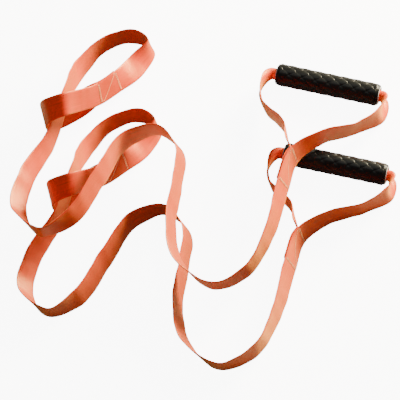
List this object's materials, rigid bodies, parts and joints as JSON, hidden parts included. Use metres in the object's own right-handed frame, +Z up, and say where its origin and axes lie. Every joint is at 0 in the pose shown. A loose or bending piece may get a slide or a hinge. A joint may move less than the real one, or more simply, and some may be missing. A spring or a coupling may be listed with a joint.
{
  "type": "exercise pull strap pair",
  "caption": "Pair of satin webbing pull straps, each with a hollow rubber hand grip at one end and a running noose for an anchor at the other.",
  "frame": {"origin": "on the table, under the middle of the box round both straps", "axes": "+Z up from the table; +X from the nooses to the grips; +Y from the lower strap to the upper one, away from the viewer"},
  "size_m": [0.4106, 0.4324, 0.0612],
  "materials": {
    "webbing": "bright orange satin woven webbing, glossy along its length",
    "thread": "paler orange sewing thread",
    "grip_rubber": "near black foamed rubber with raised staggered scales",
    "core_plastic": "plain light grey plastic tube"
  },
  "bodies": {
    "lower_strap": {"lower_webbing_eye_under": "webbing", "lower_webbing_eye_over": "webbing", "lower_webbing_noose_front": "webbing", "lower_webbing_noose_back": "webbing", "lower_webbing_standing": "webbing", "lower_webbing_left_bend": "webbing", "lower_webbing_hump_rise": "webbing", "lower_webbing_hump_turn": "webbing", "lower_webbing_right_limb": "webbing", "lower_webbing_front_bend": "webbing", "lower_webbing_stem": "webbing", "lower_webbing_right_strand": "webbing", "lower_webbing_in_grip": "webbing", "lower_webbing_left_strand": "webbing", "lower_eye_seam_row_1": "thread", "lower_eye_seam_row_2": "thread", "lower_eye_seam_row_slant": "thread", "lower_stem_seam_row_1": "thread", "lower_stem_seam_row_2": "thread", "lower_stem_seam_row_slant": "thread"},
    "lower_grip": {"lower_grip_sleeve": "grip_rubber", "lower_grip_core": "core_plastic"},
    "upper_strap": {"upper_webbing_eye_under": "webbing", "upper_webbing_eye_over": "webbing", "upper_webbing_noose_front": "webbing", "upper_webbing_noose_back": "webbing", "upper_webbing_standing": "webbing", "upper_webbing_left_bend": "webbing", "upper_webbing_hump_rise": "webbing", "upper_webbing_hump_turn": "webbing", "upper_webbing_right_limb": "webbing", "upper_webbing_front_bend": "webbing", "upper_webbing_stem": "webbing", "upper_webbing_right_strand": "webbing", "upper_webbing_in_grip": "webbing", "upper_webbing_left_strand": "webbing", "upper_eye_seam_row_1": "thread", "upper_eye_seam_row_2": "thread", "upper_eye_seam_row_slant": "thread", "upper_stem_seam_row_1": "thread", "upper_stem_seam_row_2": "thread", "upper_stem_seam_row_slant": "thread"},
    "upper_grip": {"upper_grip_sleeve": "grip_rubber", "upper_grip_core": "core_plastic"}
  },
  "joints": [
    {"name": "lower_grip_turn", "type": "hinge", "parent": "lower_strap", "child": "lower_grip", "pos_m": [0.1405, 0.0475, 0.012], "axis": [0.9681, -0.2504, 0], "continuous": true},
    {"name": "upper_strap_lift", "type": "slide", "parent": "lower_strap", "child": "upper_strap", "axis": [0, 0, 1], "range_m": [0, 0.12]},
    {"name": "upper_grip_turn", "type": "hinge", "parent": "upper_strap", "child": "upper_grip", "pos_m": [0.1331, 0.151, 0.012], "axis": [0.9681, -0.2504, 0], "continuous": true}
  ]
}
